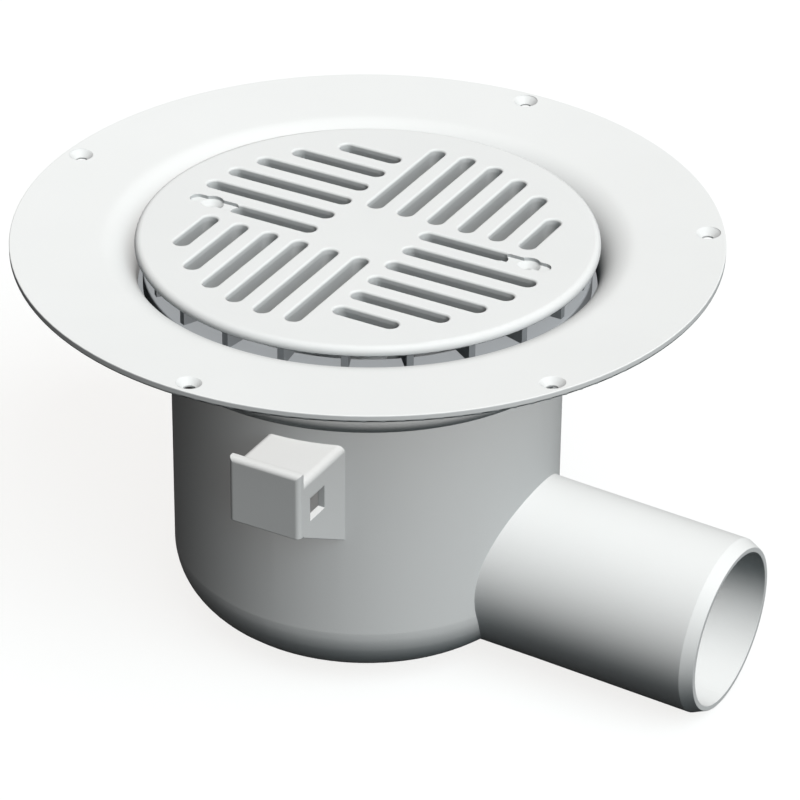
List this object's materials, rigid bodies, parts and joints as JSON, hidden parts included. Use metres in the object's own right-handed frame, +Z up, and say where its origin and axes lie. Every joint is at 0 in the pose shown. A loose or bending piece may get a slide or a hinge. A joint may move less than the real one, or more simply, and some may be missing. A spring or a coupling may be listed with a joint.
{
  "type": "floor drain",
  "caption": "Round plastic floor drain with a wide screw-down flange, slotted grate, clamp ring, lift-out water trap and a side outlet spigot.",
  "frame": {"origin": "on the drain's axis at finished floor level, the centre of the grate's top face", "axes": "+Z up along the drain's axis, +X towards the outlet spigot, +Y across"},
  "size_m": [0.318, 0.292, 0.1752],
  "materials": {
    "body_plastic": "white polypropylene, satin as moulded",
    "ring_plastic": "light grey polypropylene, matt",
    "grate_plastic": "white plastic, satin as moulded",
    "trap_plastic": "pale grey polypropylene, matt",
    "seal_rubber": "black rubber"
  },
  "bodies": {
    "root": {"drain_body": "body_plastic", "clamp_ring": "ring_plastic", "grate": "grate_plastic", "trap_seat": "trap_plastic", "trap_funnel": "trap_plastic", "trap_cup": "trap_plastic", "trap_seal": "seal_rubber"}
  },
  "joints": []
}
